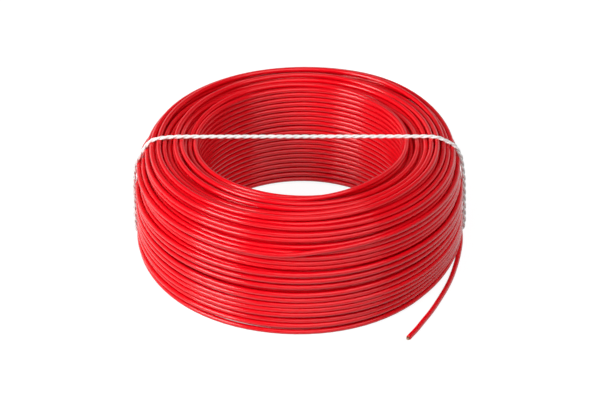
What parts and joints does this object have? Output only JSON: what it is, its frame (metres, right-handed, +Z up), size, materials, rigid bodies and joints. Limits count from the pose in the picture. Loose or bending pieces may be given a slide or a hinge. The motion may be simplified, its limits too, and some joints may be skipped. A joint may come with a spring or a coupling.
{
  "type": "wire coil",
  "caption": "Free-standing ring coil of red insulated single-core wire, tied with white string across its bore, with a cut end lying loose beside it.",
  "frame": {"origin": "on the axis of the coil's bore, level with the lower face that the coil stands on", "axes": "+Z up along the bore's axis, +X along the string that crosses the bore, towards the side where the outer end leaves the wall; the loose outer end runs towards -Y"},
  "size_m": [0.1862, 0.1867, 0.0682],
  "materials": {
    "red_insulation": "smooth extruded soft PVC with a soft gloss",
    "bare_copper": "bare annealed copper strands, cut square",
    "white_string": "two-ply twisted string"
  },
  "bodies": {
    "root": {"inner_layers": "red_insulation", "outer_layer": "red_insulation", "free_end": "red_insulation", "free_end_strands": "bare_copper", "start_end": "red_insulation", "start_end_strands": "bare_copper", "tie_string": "white_string", "tie_knot": "white_string"}
  },
  "joints": []
}
